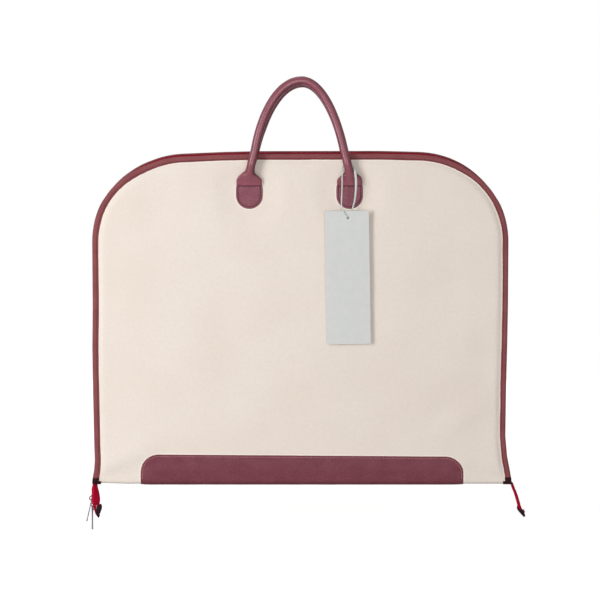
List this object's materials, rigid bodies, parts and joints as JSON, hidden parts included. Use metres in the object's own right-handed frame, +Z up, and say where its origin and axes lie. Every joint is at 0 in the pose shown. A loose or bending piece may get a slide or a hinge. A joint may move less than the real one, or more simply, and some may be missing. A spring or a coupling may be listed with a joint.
{
  "type": "garment bag",
  "caption": "Cream canvas fold-over garment bag with burgundy leather binding, base band and rolled handles, a zip round the rim with red tails, and a blank hang tag.",
  "frame": {"origin": "underside of the base band, in the middle of the fold", "axes": "+X to the bag's right as seen from the front, +Z up towards the handles, -Y out of the front face"},
  "size_m": [0.6291, 0.0648, 0.6605],
  "materials": {
    "canvas": "cream woven polyester canvas, matt",
    "padding": "thin foam padding",
    "lining": "dark burgundy woven lining",
    "leather": "burgundy grained leather with a soft sheen",
    "binding": "burgundy ribbed binding with a stitched inner edge",
    "zip_tape": "bright red woven zip tape",
    "zip_metal": "nickel-plated zip metal",
    "tail_leather": "near-black burgundy leather",
    "lining_leather": "dark burgundy leather",
    "rope": "twisted cotton rope",
    "card": "matt pale grey card",
    "string": "pale grey-green flat cotton tape",
    "webbing": "black woven webbing",
    "buckle_plastic": "black moulded buckle",
    "zip_teeth": "dark burgundy moulded zip teeth"
  },
  "bodies": {
    "back_half": {"back_canvas": "canvas", "back_pad": "padding", "back_lining": "lining", "back_binding": "binding", "back_zip_tape": "zip_tape", "back_zip_chain": "zip_teeth", "back_base_band": "leather", "back_patch_left": "leather", "back_patch_right": "leather", "back_neck_left": "leather", "back_neck_right": "leather", "hanger_tab": "lining_leather", "hanger_eyelet": "zip_metal", "garment_strap_left": "webbing", "garment_strap_right": "webbing", "strap_buckle": "buckle_plastic"},
    "fold_strip": {"fold_canvas": "canvas", "fold_lining": "lining", "fold_base_band": "leather", "fold_binding_left": "binding", "fold_binding_right": "binding"},
    "front_half": {"front_canvas": "canvas", "front_pad": "padding", "front_lining": "lining", "front_binding": "binding", "front_zip_tape": "zip_tape", "front_zip_chain": "zip_teeth", "front_base_band": "leather", "front_patch_left": "leather", "front_patch_right": "leather", "front_neck_left": "leather", "front_neck_right": "leather"},
    "front_handle": {"front_handle_cover": "leather", "front_handle_core": "rope"},
    "back_handle": {"back_handle_cover": "leather", "back_handle_core": "rope"},
    "left_tail": {"left_tail_tape": "zip_tape", "left_tail_chain": "zip_teeth", "left_tail_tab": "tail_leather"},
    "right_tail": {"right_tail_tape": "zip_tape", "right_tail_chain": "zip_teeth", "right_tail_tab": "tail_leather"},
    "slider_a": {"slider_a": "zip_metal"},
    "slider_b": {"slider_b": "zip_metal"},
    "pull_a": {"pull_a": "zip_metal"},
    "pull_b": {"pull_b": "zip_metal"},
    "tag_string": {"tag_string": "string", "tag_knot": "string"},
    "tag": {"tag_card": "card"}
  },
  "joints": [
    {"name": "back_fold", "type": "hinge", "parent": "back_half", "child": "fold_strip", "pos_m": [0, 0.016, 0.006], "axis": [1, 0, 0], "range_deg": [0, 90]},
    {"name": "front_fold", "type": "hinge", "parent": "fold_strip", "child": "front_half", "pos_m": [0, -0.016, 0.006], "axis": [1, 0, 0], "range_deg": [0, 90]},
    {"name": "front_handle_swing", "type": "hinge", "parent": "front_half", "child": "front_handle", "pos_m": [-0.0015, -0.026, 0.469], "axis": [1, 0, 0], "range_deg": [0, 120]},
    {"name": "back_handle_swing", "type": "hinge", "parent": "back_half", "child": "back_handle", "pos_m": [-0.0015, 0.026, 0.469], "axis": [-1, 0, 0], "range_deg": [0, 120]},
    {"name": "left_tail_hang", "type": "hinge", "parent": "fold_strip", "child": "left_tail", "pos_m": [-0.3, 0, -0.007], "axis": [1, 0, 0], "range_deg": [-90, 0]},
    {"name": "right_tail_hang", "type": "hinge", "parent": "fold_strip", "child": "right_tail", "pos_m": [0.3, 0, -0.007], "axis": [1, 0, 0], "range_deg": [-90, 0]},
    {"name": "slider_a_slide", "type": "slide", "parent": "left_tail", "child": "slider_a", "axis": [0, 0, 1], "range_m": [0, 0.34]},
    {"name": "slider_b_slide", "type": "slide", "parent": "left_tail", "child": "slider_b", "axis": [0, 0, 1], "range_m": [0, 0.003]},
    {"name": "pull_a_swing", "type": "hinge", "parent": "slider_a", "child": "pull_a", "pos_m": [-0.3045, 0, -0.018], "axis": [0, 1, 0], "range_deg": [0, 150]},
    {"name": "pull_b_swing", "type": "hinge", "parent": "slider_b", "child": "pull_b", "pos_m": [-0.3045, 0, -0.0325], "axis": [0, 1, 0], "range_deg": [0, 16]},
    {"name": "tag_string_swing", "type": "hinge", "parent": "front_half", "child": "tag_string", "pos_m": [0.0686, -0.0176, 0.4658], "axis": [-1, 0, 0], "range_deg": [0, 100]},
    {"name": "tag_swing", "type": "hinge", "parent": "tag_string", "child": "tag", "pos_m": [0.068, -0.024, 0.391], "axis": [0, 1, 0], "range_deg": [-25, 25]}
  ],
  "couplings": [
    {"joint": "front_fold", "follows": "back_fold", "ratio": 1},
    {"joint": "left_tail_hang", "follows": "back_fold", "ratio": -1},
    {"joint": "right_tail_hang", "follows": "back_fold", "ratio": -1}
  ]
}
